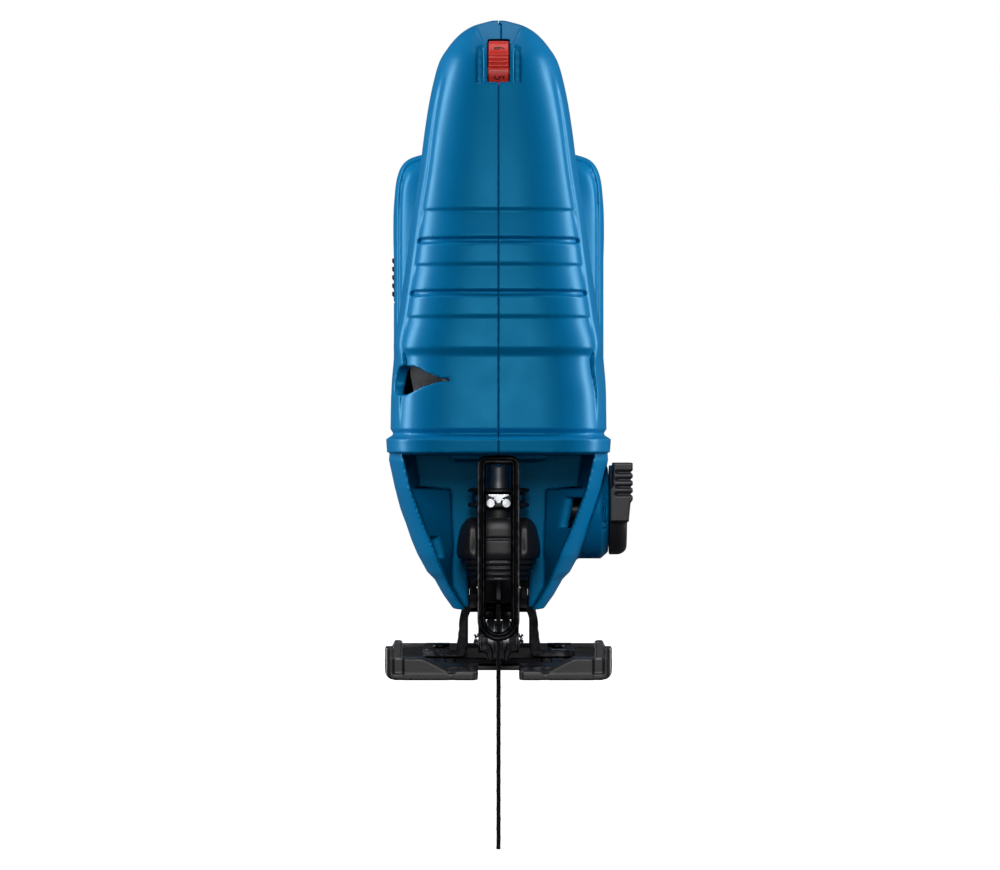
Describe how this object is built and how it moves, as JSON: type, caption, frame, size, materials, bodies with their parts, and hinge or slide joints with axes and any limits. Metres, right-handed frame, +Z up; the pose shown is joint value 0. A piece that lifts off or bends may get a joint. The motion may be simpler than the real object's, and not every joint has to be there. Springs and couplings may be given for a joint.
{
  "type": "jigsaw power tool",
  "caption": "Cordless bow-handle jigsaw with a tilting shoe, orbital lever, speed wheel, quick blade clamp and blade.",
  "frame": {"origin": "centre of the shoe's underside, on the cutting plane", "axes": "-Y is the cutting front, +Y the battery end, +X the side of the orbital lever, +Z up"},
  "size_m": [0.0795, 0.227, 0.2641],
  "materials": {
    "housing": "fine-grained satin moulding",
    "black_plastic": "satin black moulding",
    "shoe_plastic": "smooth black moulding, rubbed underneath",
    "gearcase_metal": "black-coated light-metal casting",
    "dial_plastic": "red moulding, fluted edge",
    "rubber": "matt soft touch",
    "steel": "machined",
    "screw_steel": "blackened",
    "blade_steel": "dark hardened strip",
    "chrome": "polished",
    "aluminium": "as cast",
    "copper": "copper",
    "bronze": "sintered bronze",
    "magnet": "ferrite",
    "board": "circuit board",
    "coated_steel": "black-coated pressed steel"
  },
  "bodies": {
    "housing": {"housing_left": "housing", "housing_right": "housing", "blower_nozzle": "housing", "battery_mount": "black_plastic", "terminal_block": "black_plastic", "switch_module": "black_plastic", "motor_end_cap": "black_plastic", "gearcase": "gearcase_metal", "handle_grip": "rubber", "side_pad": "rubber", "motor_can": "steel", "rear_bearing": "steel", "front_bearing": "steel", "gear_axle": "steel", "fork_pin": "steel", "bevel_clamp_plate": "steel", "housing_screw_1": "screw_steel", "housing_screw_2": "screw_steel", "housing_screw_3": "screw_steel", "housing_screw_4": "screw_steel", "housing_screw_5": "screw_steel", "brush_left": "screw_steel", "brush_right": "screw_steel", "heat_sink": "aluminium", "gear_cover": "aluminium", "battery_contacts": "copper", "lower_bush": "bronze", "upper_bush": "bronze", "magnet_left": "magnet", "magnet_right": "magnet", "controller_board": "board", "finger_guard": "coated_steel"},
    "armature": {"armature_shaft": "steel", "armature_core": "copper", "commutator": "copper", "cooling_fan": "black_plastic", "drive_pinion": "steel"},
    "drive_gear": {"drive_gear": "steel", "crank_pin": "chrome"},
    "crank_roller": {"crank_roller": "steel"},
    "counterweight": {"counterweight": "steel"},
    "plunger": {"plunger": "chrome", "scotch_yoke": "steel", "clamp_body": "black_plastic", "clamp_ring": "chrome"},
    "clamp_lever": {"clamp_lever": "black_plastic"},
    "blade": {"blade": "blade_steel"},
    "roller_fork": {"roller_fork": "coated_steel", "roller_pin": "chrome"},
    "guide_roller": {"guide_roller": "steel"},
    "orbital_lever": {"orbital_lever": "black_plastic"},
    "shoe": {"glide_shoe": "shoe_plastic", "foot_plate": "coated_steel", "bevel_bracket": "coated_steel", "bracket_screw_left": "screw_steel", "bracket_screw_right": "screw_steel"},
    "bevel_screw": {"bevel_screw": "screw_steel"},
    "trigger": {"trigger": "black_plastic"},
    "lock_button": {"lock_button": "black_plastic"},
    "speed_dial": {"speed_dial": "dial_plastic"}
  },
  "joints": [
    {"name": "armature_spin", "type": "hinge", "parent": "housing", "child": "armature", "pos_m": [0, 0.04, 0.07], "axis": [0, 1, 0], "continuous": true},
    {"name": "drive_gear_spin", "type": "hinge", "parent": "housing", "child": "drive_gear", "pos_m": [0, -0.011, 0.098], "axis": [0, 1, 0], "continuous": true},
    {"name": "crank_roller_spin", "type": "hinge", "parent": "drive_gear", "child": "crank_roller", "pos_m": [0.01, -0.023, 0.098], "axis": [0, 1, 0], "continuous": true},
    {"name": "plunger_stroke", "type": "slide", "parent": "housing", "child": "plunger", "axis": [0, 0, 1], "range_m": [-0.01, 0.01]},
    {"name": "counterweight_slide", "type": "slide", "parent": "housing", "child": "counterweight", "axis": [0, 0, 1], "range_m": [-0.004, 0.004]},
    {"name": "clamp_lever_swing", "type": "hinge", "parent": "plunger", "child": "clamp_lever", "pos_m": [0, -0.044, 0.051], "axis": [-1, 0, 0], "range_deg": [0, 20], "stiffness_Nm_per_rad": 0.05, "springref_deg": -11.46},
    {"name": "blade_release", "type": "slide", "parent": "plunger", "child": "blade", "axis": [0, 0, -1], "range_m": [0, 0.025]},
    {"name": "roller_fork_swing", "type": "hinge", "parent": "housing", "child": "roller_fork", "pos_m": [0, -0.0175, 0.032], "axis": [1, 0, 0], "range_deg": [0, 3], "stiffness_Nm_per_rad": 0.5, "springref_deg": -2.86},
    {"name": "guide_roller_spin", "type": "hinge", "parent": "roller_fork", "child": "guide_roller", "pos_m": [0, -0.0232, 0.0105], "axis": [1, 0, 0], "continuous": true},
    {"name": "orbital_lever_turn", "type": "hinge", "parent": "housing", "child": "orbital_lever", "pos_m": [0.035, -0.03, 0.052], "axis": [1, 0, 0], "range_deg": [0, 90]},
    {"name": "shoe_bevel", "type": "hinge", "parent": "housing", "child": "shoe", "pos_m": [0, 0, 0.0145], "axis": [0, 1, 0], "range_deg": [-45, 45]},
    {"name": "bevel_screw_turn", "type": "hinge", "parent": "housing", "child": "bevel_screw", "pos_m": [0, 0.015, 0.018], "axis": [0, 0, 1], "continuous": true},
    {"name": "trigger_pull", "type": "hinge", "parent": "housing", "child": "trigger", "pos_m": [0, 0.044, 0.17], "axis": [-1, 0, 0], "range_deg": [0, 10], "stiffness_Nm_per_rad": 0.3, "springref_deg": -8.59},
    {"name": "lock_button_press", "type": "slide", "parent": "housing", "child": "lock_button", "axis": [1, 0, 0], "range_m": [0, 0.003], "stiffness_N_per_m": 300, "springref_m": -0.001},
    {"name": "speed_dial_turn", "type": "hinge", "parent": "housing", "child": "speed_dial", "pos_m": [0, -0.038, 0.191], "axis": [1, 0, 0], "range_deg": [0, 270]}
  ],
  "couplings": [
    {"joint": "drive_gear_spin", "follows": "armature_spin", "ratio": -0.16667},
    {"joint": "counterweight_slide", "follows": "plunger_stroke", "ratio": -0.4}
  ]
}
